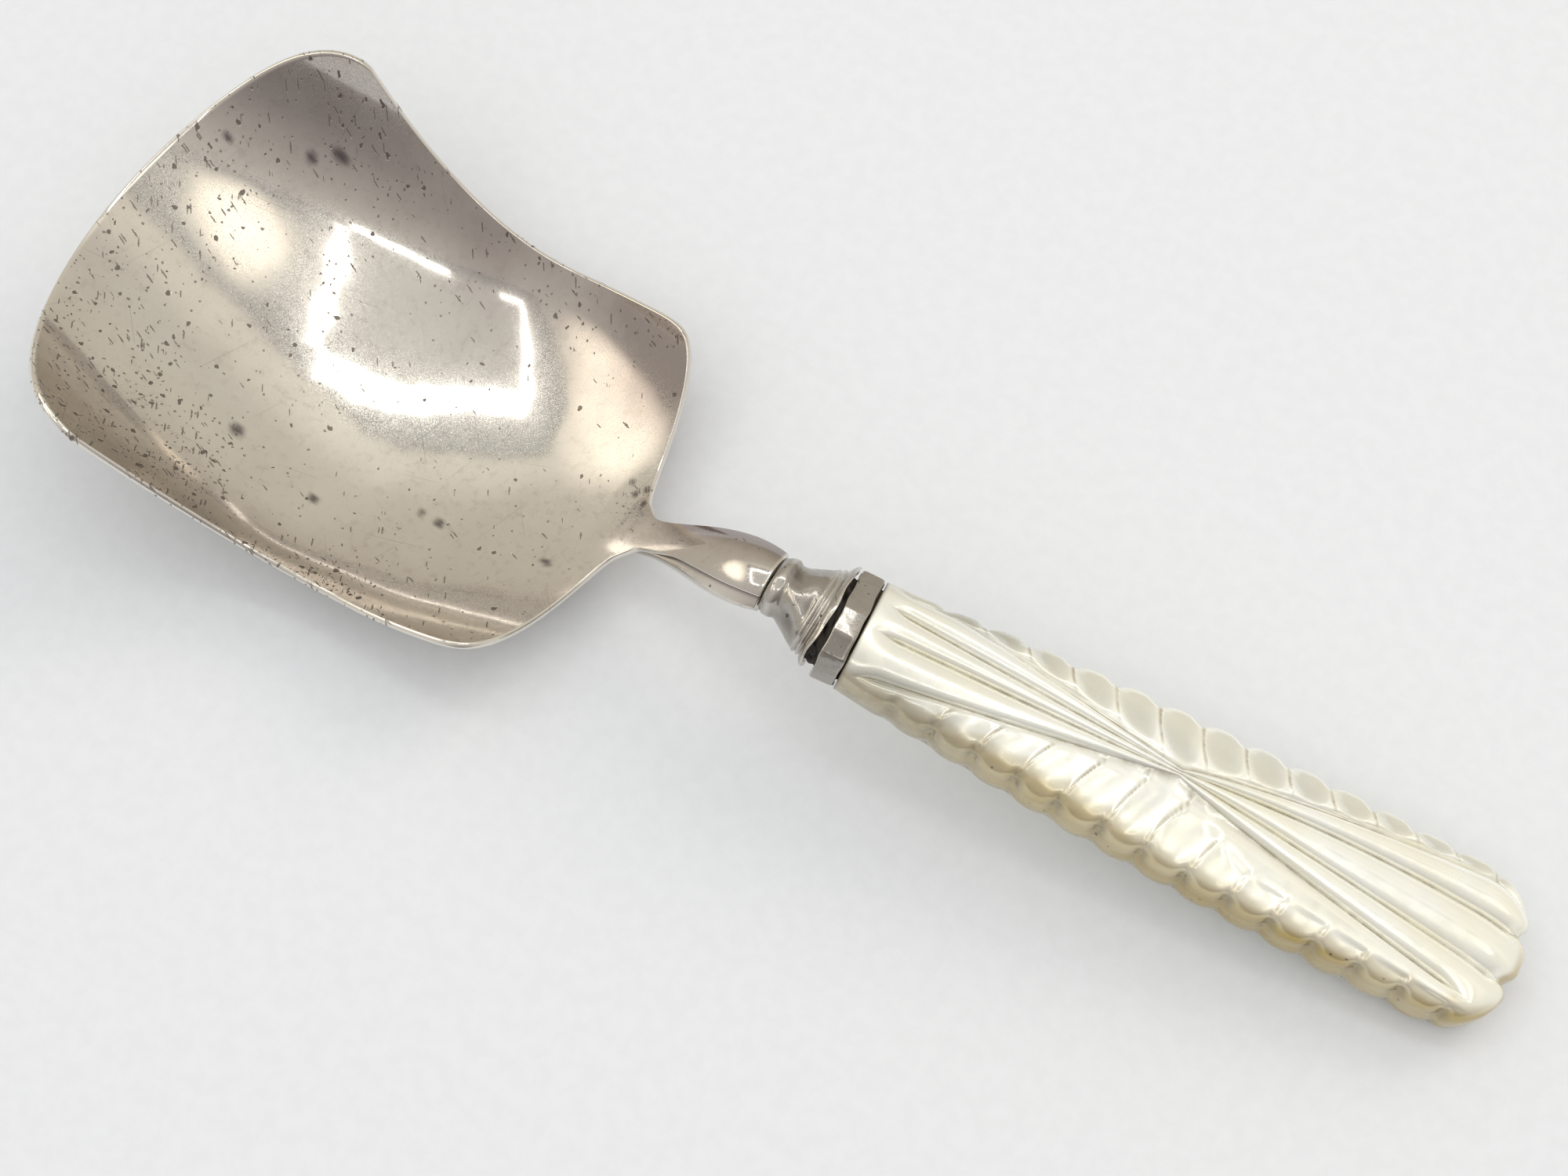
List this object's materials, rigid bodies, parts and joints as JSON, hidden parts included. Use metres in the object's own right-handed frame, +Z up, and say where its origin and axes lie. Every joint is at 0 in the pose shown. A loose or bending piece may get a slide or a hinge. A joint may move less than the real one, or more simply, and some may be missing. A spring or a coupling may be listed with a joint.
{
  "type": "caddy spoon",
  "caption": "Caddy spoon with a wide dished shovel bowl, a short arched stem, a moulded ferrule and a flat carved mother of pearl handle.",
  "frame": {"origin": "middle of the flat worn under the bowl, on the table", "axes": "+X along the bowl's centre line towards the handle, +Z up out of the bowl, +Y to the side that the handle leans to"},
  "size_m": [0.1232, 0.0388, 0.017],
  "materials": {
    "silver": "old polish, pitted and lightly tarnished",
    "worn_silver": "dented and tarnished",
    "mother_of_pearl": "carved and polished shell with a soft sheen",
    "pitch": "dull",
    "iron": "dull"
  },
  "bodies": {
    "root": {"bowl": "silver", "stem_back": "silver", "ferrule": "worn_silver", "collar": "worn_silver", "handle": "mother_of_pearl", "ferrule_pitch": "pitch", "bore_cement": "pitch", "tang": "iron"}
  },
  "joints": []
}
